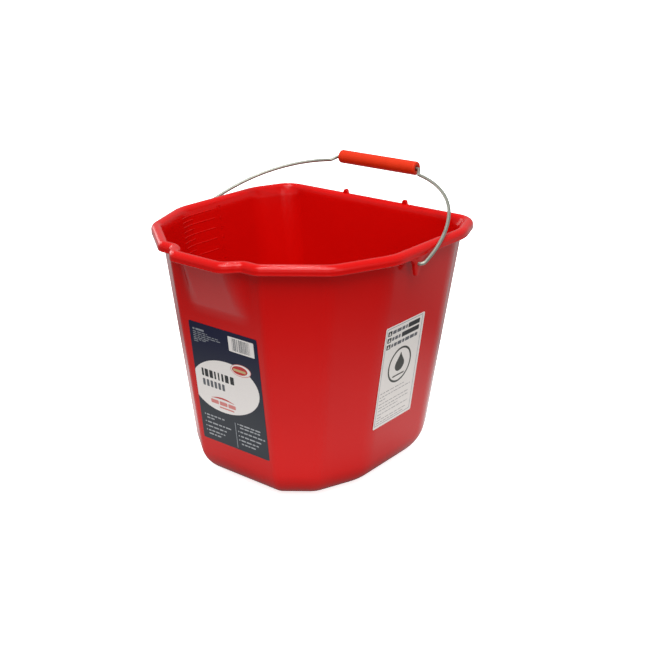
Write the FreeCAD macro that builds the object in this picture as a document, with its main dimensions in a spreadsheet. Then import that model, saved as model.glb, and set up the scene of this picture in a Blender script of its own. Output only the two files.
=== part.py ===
"""Wash bucket: a moulded plastic bucket with a pouring spout, a wire bail, a grip and two labels.

Millimetres, +Z up, front (spout) towards -Y, origin at the middle of the flat underside.
"""
import FreeCAD, Part
import math
import os
import Sketcher
from FreeCAD import Placement, Rotation, Vector

document = FreeCAD.newDocument("wash_bucket")
sizes = document.addObject("Spreadsheet::Sheet", "Sizes")

DRIVING = {
    # plan of the rolled lip, measured to the middle of its roll
    "lip_level": 283.5,
    "lip_side": 154.0,
    "lip_front": 151.9,
    "lip_back": 136.3,
    "lip_front_half": 66.2,
    "lip_facet_half": 126.5,
    "lip_facet_front": 106.3,
    "lip_side_front": 40.8,
    "lip_side_back": 87.0,
    "lip_back_half": 135.3,
    # plan of the walls carried down to the floor, before the bottom edge is rounded
    "base_side": 112.0,
    "base_front": 115.4,
    "base_back": 115.4,
    "base_front_half": 54.0,
    "base_facet_half": 89.6,
    "base_facet_front": 88.4,
    "base_side_front": 30.6,
    "base_side_back": 78.4,
    "base_back_half": 93.0,
    # corner radii in plan and the big radius between walls and floor
    "front_corner": 12.0,
    "facet_corner": 30.0,
    "side_corner": 60.0,
    "quarter_corner": 55.0,
    "back_corner": 24.0,
    "bottom_round": 42.0,
    # walls and lip
    "wall": 2.5,
    "lip_radius": 6.1,
    "lip_wall": 2.2,
    "lip_skirt": 4.5,
    "lip_root": 3.0,
    "lip_over_wall": 4.5,
    # pouring spout
    "spout_reach": 17.1,
    "spout_half": 33.3,
    "spout_root": 46.9,
    "spout_depth": 62.0,
    "spout_corner": 9.0,
    "spout_back": 9.0,
    "spout_blend": 0.3,
    # ears that hold the bail
    "ear_y": -5.0,
    "ear_half": 5.0,
    "ear_flare": 11.0,
    "ear_drop": 20.5,
    "ear_toe": 12.0,
    "ear_thick": 5.0,
    "ear_taper": 2.0,
    "pivot_below_lip": 10.8,
    "wire_reach": 8.0,
    "bore_gap": 0.1,
    # bail wire
    "wire_radius": 1.9,
    "bail_clear": 3.2,
    "ear_bend": 5.0,
    "leg_radius": 170.0,
    "leg_sweep": 27.0,
    "bow_radius": 128.0,
    "kink_run": 9.5,
    "kink_bend": 3.5,
    "grip_height": 159.0,
    "rest_gap": 0.7,
    # grip
    "grip_length": 112.0,
    "grip_radius": 8.1,
    "grip_round": 2.0,
    "grip_bore_gap": 0.3,
    "grip_end_gap": 0.8,
    # round-headed tabs on the back of the lip
    "tab_x": 44.0,
    "tab_radius": 3.2,
    "tab_thick": 4.0,
    "tab_rise": 5.0,
    "tab_sunk": 1.2,
    # volume marks inside the left wall
    "mark_count": 25.0,
    "mark_top": 4.7,
    "mark_pitch": 5.2,
    "mark_growth": 0.1125,
    "mark_front": 52.0,
    "mark_short": 23.0,
    "mark_long": 60.0,
    "mark_width": 1.0,
    "mark_proud": 0.4,
    "mark_sunk": 0.3,
    # printed labels
    "label_thick": 0.2,
    "label_glue": 0.02,
    "label_corner": 2.0,
    "front_label_width": 99.0,
    "front_label_height": 148.0,
    "front_label_x": 1.0,
    "front_label_foot": 54.5,
    "side_label_width": 73.0,
    "side_label_height": 125.0,
    "side_label_y": 6.0,
    "side_label_foot": 78.5,
}
for row, (alias, number) in enumerate(DRIVING.items(), start=1):
    sizes.set(f"A{row}", alias)
    sizes.set(f"B{row}", str(number))
    sizes.setAlias(f"B{row}", alias)
document.recompute()


def value(expression):
    """Number that an expression in the sheet's aliases stands for."""
    result = sizes.evalExpression(expression)
    return float(getattr(result, "Value", result))


def new_body(label):
    body = document.addObject("PartDesign::Body", label)
    body.Label = label
    return body


def new_sketch(body, name, plane, offset="0"):
    """Sketch on one of the body's own origin planes, moved along the plane's normal."""
    sketch = body.newObject("Sketcher::SketchObject", name)
    origin_plane = [part for part in body.Origin.OriginFeatures if part.Role == plane][0]
    sketch.AttachmentSupport = [(origin_plane, "")]
    sketch.MapMode = "FlatFace"
    sketch.setExpression("AttachmentOffset.Base.z", offset)
    document.recompute()
    return sketch


def bind(sketch, kind, *ends, expression):
    """Dimension of a sketch that follows an expression in the sheet's aliases."""
    index = sketch.addConstraint(Sketcher.Constraint(kind, *ends, value(expression)))
    sketch.setExpression(f"Constraints[{index}]", expression)


def circle(sketch, across, up, radius):
    """Circle whose centre and radius follow the sheet."""
    centre = Vector(value(across), value(up), 0)
    index = sketch.addGeometry(Part.Circle(centre, Vector(0, 0, 1), value(radius)))
    bind(sketch, "DistanceX", -1, 1, index, 3, expression=across)
    bind(sketch, "DistanceY", -1, 1, index, 3, expression=up)
    bind(sketch, "Radius", index, expression=radius)


def polygon(sketch, corners):
    """Closed straight-sided outline whose corners follow the sheet."""
    points = [Vector(value(across), value(up), 0) for across, up in corners]
    first = len(sketch.Geometry)
    for index, point in enumerate(points):
        sketch.addGeometry(Part.LineSegment(point, points[(index + 1) % len(points)]))
    for index, (across, up) in enumerate(corners):
        after = (index + 1) % len(points)
        sketch.addConstraint(Sketcher.Constraint("Coincident", first + index, 2, first + after, 1))
        bind(sketch, "DistanceX", -1, 1, first + index, 1, expression=across)
        bind(sketch, "DistanceY", -1, 1, first + index, 1, expression=up)


def rounded_outline(sketch, half):
    """Closed outline, mirrored in the Y axis, from (x, y, radius) corners on its right half.

    It starts at the middle of the front edge, and every corner is an arc tangent to both edges.
    """
    mirrored = [(f"-({across})", up, radius) for across, up, radius in reversed(half)]
    loop = half + mirrored
    count = len(loop)
    corners = [Vector(value(across), value(up), 0) for across, up, _ in loop]
    arcs = []
    for index, corner in enumerate(corners):
        to_last = (corners[index - 1] - corner).normalize()
        to_next = (corners[(index + 1) % count] - corner).normalize()
        radius = value(loop[index][2])
        half_angle = to_last.getAngle(to_next) / 2
        reach = radius / math.tan(half_angle)
        centre = corner + (to_last + to_next).normalize() * (radius / math.sin(half_angle))
        enter = corner + to_last * reach
        leave = corner + to_next * reach
        left_turn = to_last.cross(to_next).z < 0
        start, end = (enter, leave) if left_turn else (leave, enter)
        first_angle = math.atan2(start.y - centre.y, start.x - centre.x)
        last_angle = math.atan2(end.y - centre.y, end.x - centre.x)
        arc = Part.ArcOfCircle(Part.Circle(centre, Vector(0, 0, 1), radius), first_angle, last_angle)
        arcs.append((arc, enter, leave, left_turn))
    seam = Vector(0, corners[0].y, 0)
    edges = [sketch.addGeometry(Part.LineSegment(seam, arcs[0][1]))]
    rounds = []
    for index in range(count):
        rounds.append(sketch.addGeometry(arcs[index][0]))
        goal = arcs[index + 1][1] if index + 1 < count else seam
        edges.append(sketch.addGeometry(Part.LineSegment(arcs[index][2], goal)))
    for index, (_, _, _, left_turn) in enumerate(arcs):
        start, end = (1, 2) if left_turn else (2, 1)
        sketch.addConstraint(Sketcher.Constraint("Tangent", edges[index], 2, rounds[index], start))
        sketch.addConstraint(Sketcher.Constraint("Tangent", rounds[index], end, edges[index + 1], 1))
        bind(sketch, "Radius", rounds[index], expression=loop[index][2])
        point = sketch.addGeometry(Part.Point(corners[index]), True)
        bind(sketch, "DistanceX", -1, 1, point, 1, expression=loop[index][0])
        bind(sketch, "DistanceY", -1, 1, point, 1, expression=loop[index][1])
        sketch.addConstraint(Sketcher.Constraint("PointOnObject", point, 1, edges[index]))
        sketch.addConstraint(Sketcher.Constraint("PointOnObject", point, 1, edges[index + 1]))
    sketch.addConstraint(Sketcher.Constraint("Coincident", edges[-1], 2, edges[0], 1))
    sketch.addConstraint(Sketcher.Constraint("PointOnObject", edges[0], 1, -2))
    return loop


# Plan corners on the right half, front to back: distance across, distance along, radius.
PLAN = [
    ("front_half", "front", -1, "front_corner"),
    ("facet_half", "facet_front", -1, "facet_corner"),
    ("side", "side_front", -1, "side_corner"),
    ("side", "side_back", 1, "quarter_corner"),
    ("back_half", "back", 1, "back_corner"),
]
TOP_SCALE = "(1 - Sizes.lip_over_wall / Sizes.lip_side)"
SIDE_RISE = f"(Sizes.lip_side * {TOP_SCALE} - Sizes.base_side)"
FRONT_RISE = f"(Sizes.lip_front * {TOP_SCALE} - Sizes.base_front)"
DRAFT = f"atan({SIDE_RISE} / Sizes.lip_level)"


def wall_section(body, name, level, inset):
    """Plan of the wall at a level, drawn in from its outer face by the inset."""
    sketch = new_sketch(body, name, "XY_Plane", level)
    half = []
    for across, along, sign, corner in PLAN:
        rise = f"(({level}) / Sizes.lip_level)"
        shrink = f"(1 - ({inset}) / (Sizes.base_side + {SIDE_RISE} * {rise}))"
        spans = []
        for span in (across, along):
            low = f"Sizes.base_{span}"
            high = f"Sizes.lip_{span} * {TOP_SCALE}"
            spans.append(f"({low} + ({high} - {low}) * {rise}) * {shrink}")
        half.append((spans[0], f"{sign} * ({spans[1]})", f"Sizes.{corner} * {shrink}"))
    rounded_outline(sketch, half)
    return sketch


BANDS = 6


def wall_sections(body, name, skin):
    """Sections from the floor, round the bottom edge and up to the lip, for a skin inside the outer face."""
    radius = f"(Sizes.bottom_round - {skin})"
    sections = []
    for band in range(BANDS + 1):
        turn = f"((90 deg - {DRAFT}) * {band / BANDS})"
        level = f"{skin} + {radius} * (1 - cos({turn}))"
        inset = f"({skin} + {radius} * (1 - cos(90 deg - {DRAFT} - {turn}))) / cos({DRAFT})"
        sections.append(wall_section(body, f"{name}{band}", level, inset))
    sections.append(wall_section(body, f"{name}{BANDS + 1}", "Sizes.lip_level", f"{skin} / cos({DRAFT})"))
    return sections


def loft(body, kind, name, sections):
    feature = body.newObject(kind, name)
    feature.Profile = (sections[0], [""])
    feature.Sections = [(section, [""]) for section in sections[1:]]
    feature.Ruled = True
    document.recompute()
    return feature


bucket = new_body("bucket")
loft(bucket, "PartDesign::AdditiveLoft", "outer_walls", wall_sections(bucket, "outer_plan", "0"))


def spout_sections(name, skin, sunk):
    """Plans of the spout at the lip and where it runs out into the front wall."""
    low_level = "(Sizes.lip_level - Sizes.spout_depth)"
    low_front = f"(Sizes.base_front + {FRONT_RISE} * {low_level} / Sizes.lip_level - {skin} - {sunk})"
    top_front = f"(Sizes.lip_front * {TOP_SCALE} - {skin})"
    side_step = f"((Sizes.lip_over_wall + {skin}) / 2)"
    sections = []
    for level, wall_front, reach in (
        (low_level, low_front, "0"),
        ("Sizes.lip_level", top_front, "Sizes.spout_reach"),
    ):
        sketch = new_sketch(bucket, f"{name}{len(sections)}", "XY_Plane", level)
        nose = f"(Sizes.spout_half - {side_step})"
        root = f"(Sizes.spout_root - {side_step})"
        nose_y = f"-({wall_front} + {reach})"
        root_y = f"-({wall_front})" if sections else f"-({wall_front} - Sizes.spout_blend)"
        back_y = f"-({wall_front} - Sizes.spout_back)"
        polygon(sketch, [
            (f"-{nose}", nose_y), (nose, nose_y), (root, root_y),
            (root, back_y), (f"-{root}", back_y), (f"-{root}", root_y),
        ])
        sections.append(sketch)
    return sections


loft(bucket, "PartDesign::AdditiveLoft", "spout_outside",
     spout_sections("spout_outer", "0", "Sizes.spout_blend"))

# Ears: a flat tongue hanging from the skirt on each side of the lip, flared into it, narrower and
# thinner towards the toe, with a gap between it and the wall.
LIP_OUTER = "(Sizes.lip_side + Sizes.lip_radius)"
SKIRT_FOOT = "(Sizes.lip_level - Sizes.lip_skirt)"
TOE = f"({SKIRT_FOOT} - Sizes.ear_drop)"
TOE_WALL = f"(Sizes.base_side + {SIDE_RISE} * {TOE} / Sizes.lip_level)"
PIVOT_LEVEL = "(Sizes.lip_level - Sizes.pivot_below_lip)"


def ear_outline(sketch):
    """Tongue seen from the side: a wide top, a quarter-round flare each side and a narrower toe."""
    wide = "(Sizes.ear_half + Sizes.ear_flare)"
    neck = f"({SKIRT_FOOT} - Sizes.ear_flare)"
    top = f"({SKIRT_FOOT} + Sizes.lip_root)"
    toe_half = "(Sizes.ear_half - Sizes.ear_taper)"
    corners = [
        (f"Sizes.ear_y - {wide}", SKIRT_FOOT), (f"Sizes.ear_y - {wide}", top),
        (f"Sizes.ear_y + {wide}", top), (f"Sizes.ear_y + {wide}", SKIRT_FOOT),
        ("Sizes.ear_y + Sizes.ear_half", neck), (f"Sizes.ear_y + {toe_half}", TOE),
        (f"Sizes.ear_y - {toe_half}", TOE), ("Sizes.ear_y - Sizes.ear_half", neck),
    ]
    points = [Vector(value(across), value(up), 0) for across, up in corners]
    flare = value("Sizes.ear_flare")
    quarter = math.pi / 2
    edges = {}
    for start, end in ((0, 1), (1, 2), (2, 3), (4, 5), (5, 6), (6, 7)):
        edges[start] = sketch.addGeometry(Part.LineSegment(points[start], points[end]))
        for index, end_number in ((start, 1), (end, 2)):
            bind(sketch, "DistanceX", -1, 1, edges[start], end_number, expression=corners[index][0])
            bind(sketch, "DistanceY", -1, 1, edges[start], end_number, expression=corners[index][1])
    for centre, first, wide_edge, neck_edge in (
        (points[3] - Vector(0, flare, 0), quarter, (2, 2), (4, 1)),
        (points[0] - Vector(0, flare, 0), 0, (0, 1), (6, 2)),
    ):
        round_edge = Part.ArcOfCircle(Part.Circle(centre, Vector(0, 0, 1), flare), first, first + quarter)
        arc = sketch.addGeometry(round_edge)
        ends = (wide_edge, neck_edge) if first else (neck_edge, wide_edge)
        for number, (edge, edge_end) in enumerate(ends, start=1):
            sketch.addConstraint(
                Sketcher.Constraint("Coincident", arc, number, edges[edge], edge_end))
        bind(sketch, "Radius", arc, expression="Sizes.ear_flare")


def ear(name, side):
    start = f"{LIP_OUTER} - Sizes.ear_thick" if side > 0 else f"-{LIP_OUTER}"
    outline = new_sketch(bucket, f"{name}_outline", "YZ_Plane", start)
    ear_outline(outline)
    tongue = bucket.newObject("PartDesign::Pad", f"{name}_tongue")
    tongue.Profile = outline
    tongue.setExpression("Length", "Sizes.ear_thick")
    document.recompute()
    slope = new_sketch(bucket, f"{name}_slope", "XZ_Plane")
    past = "(Sizes.lip_radius + Sizes.ear_toe)"
    corners = [
        (LIP_OUTER, f"{SKIRT_FOOT} - Sizes.lip_wall"),
        (f"{TOE_WALL} + Sizes.ear_toe", TOE),
        (f"{TOE_WALL} + Sizes.ear_toe", f"{TOE} - {past}"),
        (f"{LIP_OUTER} + {past}", f"{TOE} - {past}"),
        (f"{LIP_OUTER} + {past}", f"{SKIRT_FOOT} - Sizes.lip_wall"),
    ]
    sign = "" if side > 0 else "-"
    polygon(slope, [(f"{sign}({across})", up) for across, up in corners])
    before = bucket.Shape.Volume
    cut = bucket.newObject("PartDesign::Pocket", f"{name}_cut_back")
    cut.Profile = slope
    cut.Type = "ThroughAll"
    cut.Midplane = True
    document.recompute()
    assert bucket.Shape.Volume < before, f"{name} was not cut back"


for ear_name, ear_side in (("right_ear", 1), ("left_ear", -1)):
    ear(ear_name, ear_side)

loft(bucket, "PartDesign::SubtractiveLoft", "inner_walls", wall_sections(bucket, "inner_plan", "Sizes.wall"))
loft(bucket, "PartDesign::SubtractiveLoft", "spout_inside",
     spout_sections("spout_inner", "Sizes.wall", "Sizes.spout_blend"))

# Lip: a hooked section carried round the rim, spout and all.
lip_path = new_sketch(bucket, "lip_path", "XY_Plane", "Sizes.lip_level")
LIP_FRONT = "(Sizes.lip_front + Sizes.spout_reach)"
rounded_outline(lip_path, [
    ("Sizes.spout_half", f"-{LIP_FRONT}", "Sizes.spout_corner"),
    ("Sizes.spout_root", "-Sizes.lip_front", "Sizes.spout_corner"),
] + [
    (f"Sizes.lip_{across}", f"{sign} * Sizes.lip_{along}", f"Sizes.{corner}")
    for across, along, sign, corner in PLAN
])
lip_hook = new_sketch(bucket, "lip_hook", "YZ_Plane")
OUTSIDE = f"-({LIP_FRONT} + Sizes.lip_radius)"
INSIDE = f"-({LIP_FRONT} - Sizes.lip_radius)"
FEET = {
    "skirt": (OUTSIDE, f"{OUTSIDE} + Sizes.lip_wall", SKIRT_FOOT),
    "root": (f"{INSIDE} - Sizes.lip_wall", INSIDE, "(Sizes.lip_level - Sizes.lip_root)"),
}
legs = {}
for leg_name, (near, far, foot) in FEET.items():
    corners = [(near, "Sizes.lip_level"), (near, foot), (far, foot), (far, "Sizes.lip_level")]
    points = [Vector(value(across), value(up), 0) for across, up in corners]
    legs[leg_name] = []
    for index in range(3):
        edge = lip_hook.addGeometry(Part.LineSegment(points[index], points[index + 1]))
        legs[leg_name].append(edge)
        for end in (0, 1):
            across, up = corners[index + end]
            bind(lip_hook, "DistanceX", -1, 1, edge, end + 1, expression=across)
            bind(lip_hook, "DistanceY", -1, 1, edge, end + 1, expression=up)
for radius, root_end, skirt_end in (
    ("Sizes.lip_radius", (legs["root"][2], 2), (legs["skirt"][0], 1)),
    ("(Sizes.lip_radius - Sizes.lip_wall)", (legs["root"][0], 1), (legs["skirt"][2], 2)),
):
    middle = Vector(-value(LIP_FRONT), value("Sizes.lip_level"), 0)
    roll = Part.ArcOfCircle(Part.Circle(middle, Vector(0, 0, 1), value(radius)), 0, math.pi)
    arc = lip_hook.addGeometry(roll)
    lip_hook.addConstraint(Sketcher.Constraint("Coincident", arc, 1, *root_end))
    lip_hook.addConstraint(Sketcher.Constraint("Coincident", arc, 2, *skirt_end))
    bind(lip_hook, "DistanceY", -1, 1, arc, 3, expression="Sizes.lip_level")
lip = bucket.newObject("PartDesign::AdditivePipe", "lip")
lip.Profile = (lip_hook, [""])
lip.Spine = (lip_path, [""])
lip.Transition = "Right corner"
document.recompute()

# Holes for the ends of the wire, right through the ears.
for ear_name, ear_side in (("right_ear", 1), ("left_ear", -1)):
    behind = f"({LIP_OUTER} - Sizes.ear_thick - Sizes.bore_gap)"
    bore = new_sketch(bucket, f"{ear_name}_bore", "YZ_Plane", f"{ear_side} * {behind}")
    circle(bore, "Sizes.ear_y", PIVOT_LEVEL, "Sizes.wire_radius + Sizes.bore_gap")
    before = bucket.Shape.Volume
    drilled = bucket.newObject("PartDesign::Pocket", f"{ear_name}_drilled")
    drilled.Profile = bore
    drilled.setExpression("Length", "Sizes.ear_thick + Sizes.lip_radius")
    drilled.Reversed = ear_side > 0
    document.recompute()
    assert bucket.Shape.Volume < before, f"{ear_name} has no bore"

# Two round-headed tabs standing on the back of the lip.
tabs = new_sketch(bucket, "tab_fronts", "XZ_Plane", "-(Sizes.lip_back + Sizes.tab_thick / 2)")
TAB_FOOT = "(Sizes.lip_level + Sizes.lip_radius - Sizes.tab_sunk)"
TAB_NECK = "(Sizes.lip_level + Sizes.lip_radius + Sizes.tab_rise - Sizes.tab_radius)"
for side in (-1, 1):
    left = f"{side} * Sizes.tab_x - Sizes.tab_radius"
    right = f"{side} * Sizes.tab_x + Sizes.tab_radius"
    corners = [(left, TAB_NECK), (left, TAB_FOOT), (right, TAB_FOOT), (right, TAB_NECK)]
    points = [Vector(value(across), value(up), 0) for across, up in corners]
    sides = [tabs.addGeometry(Part.LineSegment(points[index], points[index + 1])) for index in range(3)]
    for index, edge in enumerate(sides):
        for end in (0, 1):
            across, up = corners[index + end]
            bind(tabs, "DistanceX", -1, 1, edge, end + 1, expression=across)
            bind(tabs, "DistanceY", -1, 1, edge, end + 1, expression=up)
    middle = Vector(value(f"{side} * Sizes.tab_x"), value(TAB_NECK), 0)
    head = Part.ArcOfCircle(Part.Circle(middle, Vector(0, 0, 1), value("Sizes.tab_radius")), 0, math.pi)
    arc = tabs.addGeometry(head)
    tabs.addConstraint(Sketcher.Constraint("Coincident", arc, 1, sides[2], 2))
    tabs.addConstraint(Sketcher.Constraint("Coincident", arc, 2, sides[0], 1))
    bind(tabs, "DistanceY", -1, 1, arc, 3, expression=TAB_NECK)
before = bucket.Shape.Volume
tab_pad = bucket.newObject("PartDesign::Pad", "tabs")
tab_pad.Profile = tabs
tab_pad.setExpression("Length", "Sizes.tab_thick")
document.recompute()
assert bucket.Shape.Volume > before, "the tabs add nothing"

# Volume marks: raised lines on the inside of the left wall, every second one long. They are a thin
# skin over the inside face, kept only where bars that run through the left wall meet it.
marks = new_body("marks")
loft(marks, "PartDesign::AdditiveLoft", "mark_skin",
     wall_sections(marks, "mark_outer_plan", "(Sizes.wall - Sizes.mark_sunk)"))
loft(marks, "PartDesign::SubtractiveLoft", "mark_hollow",
     wall_sections(marks, "mark_inner_plan", "(Sizes.wall + Sizes.mark_proud)"))
bars = new_body("mark_bars")
bar_fronts = new_sketch(bars, "bar_fronts", "YZ_Plane", "-Sizes.lip_side")
for number in range(round(value("Sizes.mark_count"))):
    reach = "Sizes.mark_short" if number % 2 else "Sizes.mark_long"
    drop = f"({number} * Sizes.mark_pitch + {number * number} * Sizes.mark_growth)"
    middle = f"Sizes.lip_level - Sizes.mark_top - {drop}"
    low = f"{middle} - Sizes.mark_width / 2"
    high = f"{middle} + Sizes.mark_width / 2"
    polygon(bar_fronts, [
        ("-Sizes.mark_front", low), (f"-Sizes.mark_front + {reach}", low),
        (f"-Sizes.mark_front + {reach}", high), ("-Sizes.mark_front", high),
    ])
bar_pad = bars.newObject("PartDesign::Pad", "bar_pad")
bar_pad.Profile = bar_fronts
bar_pad.setExpression("Length", "Sizes.lip_side")
document.recompute()
kept = marks.newObject("PartDesign::Boolean", "kept_marks")
kept.Type = "Common"
kept.setObjects([bars])
document.recompute()
before = bucket.Shape.Volume
marked = bucket.newObject("PartDesign::Boolean", "volume_marks")
marked.Type = "Fuse"
marked.setObjects([marks])
document.recompute()
assert bucket.Shape.Volume > before, "the volume marks add nothing"

# Bail wire, in its own upright plane with the pivot line through its origin.
LEG = "(Sizes.lip_side + Sizes.lip_radius + Sizes.bail_clear + Sizes.wire_radius)"
SEAT_END = "(Sizes.grip_length / 2 + Sizes.grip_end_gap)"
KINK_FOOT = f"({SEAT_END} + Sizes.kink_run)"
SHOULDER_X = f"({LEG} - Sizes.leg_radius * (1 - cos(Sizes.leg_sweep)))"
SHOULDER_Z = "(Sizes.ear_bend + Sizes.leg_radius * sin(Sizes.leg_sweep))"
BOW_X = f"({SHOULDER_X} - Sizes.bow_radius * cos(Sizes.leg_sweep))"
BOW_Z = f"({SHOULDER_Z} - Sizes.bow_radius * sin(Sizes.leg_sweep))"
BOW_END = f"acos(({KINK_FOOT} - {BOW_X}) / Sizes.bow_radius)"
WIRE_END = f"({LIP_OUTER} - Sizes.wire_reach)"

bail_wire = new_body("bail_wire")
bend = new_sketch(bail_wire, "bail_bend", "XZ_Plane")


def at(across, up):
    return Vector(value(across), value(up), 0)


def round_about(centre, radius, first, last):
    """Arc of a circle between two angles in degrees, counter-clockwise."""
    whole = Part.Circle(centre, Vector(0, 0, 1), radius)
    return Part.ArcOfCircle(whole, math.radians(first), math.radians(last))


sweep = value("Sizes.leg_sweep")
bow_end = value(BOW_END)
kink = value("Sizes.kink_bend")
seat_end = at(SEAT_END, "Sizes.grip_height")
bow_middle = at(BOW_X, BOW_Z)
bow_radius = value("Sizes.bow_radius")
kink_foot = bow_middle + Rotation(Vector(0, 0, 1), bow_end).multVec(Vector(bow_radius, 0, 0))
fall = math.degrees(math.atan2(seat_end.y - kink_foot.y, kink_foot.x - seat_end.x))
kink_top = seat_end - Vector(0, kink, 0)
kink_low = bow_middle + Rotation(Vector(0, 0, 1), bow_end).multVec(Vector(bow_radius + kink, 0, 0))
top_leave = kink_top + Rotation(Vector(0, 0, 1), 90 - fall).multVec(Vector(kink, 0, 0))
low_enter = kink_low + Rotation(Vector(0, 0, 1), 270 - fall).multVec(Vector(kink, 0, 0))
ear_bend = value("Sizes.ear_bend")
pieces = [
    Part.LineSegment(at("0", "Sizes.grip_height"), seat_end),
    round_about(kink_top, kink, 90 - fall, 90),
    Part.LineSegment(top_leave, low_enter),
    round_about(kink_low, kink, 270 - fall, 180 + bow_end),
    round_about(bow_middle, bow_radius, sweep, bow_end),
    round_about(at(f"{LEG} - Sizes.leg_radius", "Sizes.ear_bend"), value("Sizes.leg_radius"), 0, sweep),
    round_about(at(f"{LEG} - Sizes.ear_bend", "Sizes.ear_bend"), ear_bend, -90, 0),
    Part.LineSegment(at(f"{LEG} - Sizes.ear_bend", "0"), at(WIRE_END, "0")),
]
seat, top_bend, slope, low_bend, bow, leg, hook, peg = [bend.addGeometry(piece) for piece in pieces]
for first, first_end, second, second_end in (
    (seat, 2, top_bend, 2), (top_bend, 1, slope, 1), (slope, 2, low_bend, 1), (low_bend, 2, bow, 2),
    (bow, 1, leg, 2), (leg, 1, hook, 2), (hook, 1, peg, 1),
):
    bend.addConstraint(Sketcher.Constraint("Tangent", first, first_end, second, second_end))
bend.addConstraint(Sketcher.Constraint("PointOnObject", seat, 1, -2))
bend.addConstraint(Sketcher.Constraint("Horizontal", seat))
bend.addConstraint(Sketcher.Constraint("PointOnObject", peg, 1, -1))
bend.addConstraint(Sketcher.Constraint("PointOnObject", peg, 2, -1))
bind(bend, "DistanceY", -1, 1, seat, 1, expression="Sizes.grip_height")
bind(bend, "DistanceX", -1, 1, seat, 2, expression=SEAT_END)
bind(bend, "DistanceX", -1, 1, bow, 2, expression=KINK_FOOT)
bind(bend, "DistanceX", -1, 1, bow, 1, expression=SHOULDER_X)
bind(bend, "DistanceX", -1, 1, leg, 1, expression=LEG)
bind(bend, "DistanceX", -1, 1, peg, 2, expression=WIRE_END)
for edge, radius in (
    (top_bend, "kink_bend"), (low_bend, "kink_bend"), (bow, "bow_radius"),
    (leg, "leg_radius"), (hook, "ear_bend"),
):
    bind(bend, "Radius", edge, expression=f"Sizes.{radius}")
wire_section = new_sketch(bail_wire, "wire_section", "YZ_Plane")
circle(wire_section, "0", "Sizes.grip_height", "Sizes.wire_radius")
half_wire = bail_wire.newObject("PartDesign::AdditivePipe", "half_wire")
half_wire.Profile = (wire_section, [""])
half_wire.Spine = (bend, [""])
document.recompute()
mirror_plane = [part for part in bail_wire.Origin.OriginFeatures if part.Role == "YZ_Plane"][0]
other_half = bail_wire.newObject("PartDesign::Mirrored", "other_half")
other_half.Originals = [half_wire]
other_half.MirrorPlane = (mirror_plane, [""])
bail_wire.Tip = other_half
document.recompute()

# The bail leans back until its legs lie on the sides of the lip, a small gap above them.
SAMPLES = 60


def lip_clearance(lean):
    """Shortest distance from the leaning wire's surface to the side of the lip."""
    nearest = math.inf
    for index in range(SAMPLES + 1):
        turn = math.radians(value("Sizes.leg_sweep")) * index / SAMPLES
        across = value(LEG) - value("Sizes.leg_radius") * (1 - math.cos(turn))
        along = value("Sizes.ear_bend") + value("Sizes.leg_radius") * math.sin(turn)
        above_roll = value(PIVOT_LEVEL) + along * math.cos(lean) - value("Sizes.lip_level")
        nearest = min(nearest, math.hypot(across - value("Sizes.lip_side"), above_roll))
    return nearest - value("Sizes.lip_radius") - value("Sizes.wire_radius")


upright, flat = 0.0, math.pi / 2
for _ in range(30):
    middle_lean = (upright + flat) / 2
    if lip_clearance(middle_lean) > value("Sizes.rest_gap"):
        upright = middle_lean
    else:
        flat = middle_lean
rest_lean = math.degrees(upright)
print(f"bail leans back {rest_lean:.2f} degrees")
pivot = Vector(0, value("Sizes.ear_y"), value(PIVOT_LEVEL))
leaning = Rotation(Vector(1, 0, 0), -rest_lean)
bail_wire.Placement = Placement(pivot, leaning)

# Grip: a round moulded tube that turns freely on the straight middle of the wire.
grip = new_body("grip")
grip_section = new_sketch(grip, "grip_section", "YZ_Plane")
circle(grip_section, "0", "0", "Sizes.grip_radius")
circle(grip_section, "0", "0", "Sizes.wire_radius + Sizes.grip_bore_gap")
tube = grip.newObject("PartDesign::Pad", "tube")
tube.Profile = grip_section
tube.Midplane = True
tube.setExpression("Length", "Sizes.grip_length")
document.recompute()
outer_rims = [
    f"Edge{number}" for number, edge in enumerate(tube.Shape.Edges, start=1)
    if isinstance(edge.Curve, Part.Circle) and abs(edge.Curve.Radius - value("Sizes.grip_radius")) < 0.01
]
rounded_ends = grip.newObject("PartDesign::Fillet", "rounded_ends")
rounded_ends.Base = (tube, outer_rims)
rounded_ends.setExpression("Radius", "Sizes.grip_round")
document.recompute()
grip.Placement = Placement(pivot + leaning.multVec(Vector(0, 0, value("Sizes.grip_height"))), leaning)

# Labels: printed film stuck to the flat front and to the flat right side.


def label(name, width, height, foot, shift):
    body = new_body(name)
    sketch = new_sketch(body, f"{name}_outline", "XY_Plane", "Sizes.label_glue")
    corners = [(shift, sign, end) for sign, end in ((-1, 0), (1, 0), (1, 1), (-1, 1))]
    polygon(sketch, [
        (f"{move} + {sign} * {width} / 2", f"{foot} + {end} * {height}") for move, sign, end in corners
    ])
    film = body.newObject("PartDesign::Pad", f"{name}_film")
    film.Profile = sketch
    film.setExpression("Length", "Sizes.label_thick")
    document.recompute()
    upright_edges = [
        f"Edge{number}" for number, edge in enumerate(film.Shape.Edges, start=1)
        if abs(edge.Length - value("Sizes.label_thick")) < 0.01
    ]
    corners_off = body.newObject("PartDesign::Fillet", f"{name}_corners")
    corners_off.Base = (film, upright_edges)
    corners_off.setExpression("Radius", "Sizes.label_corner")
    document.recompute()
    return body


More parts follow.
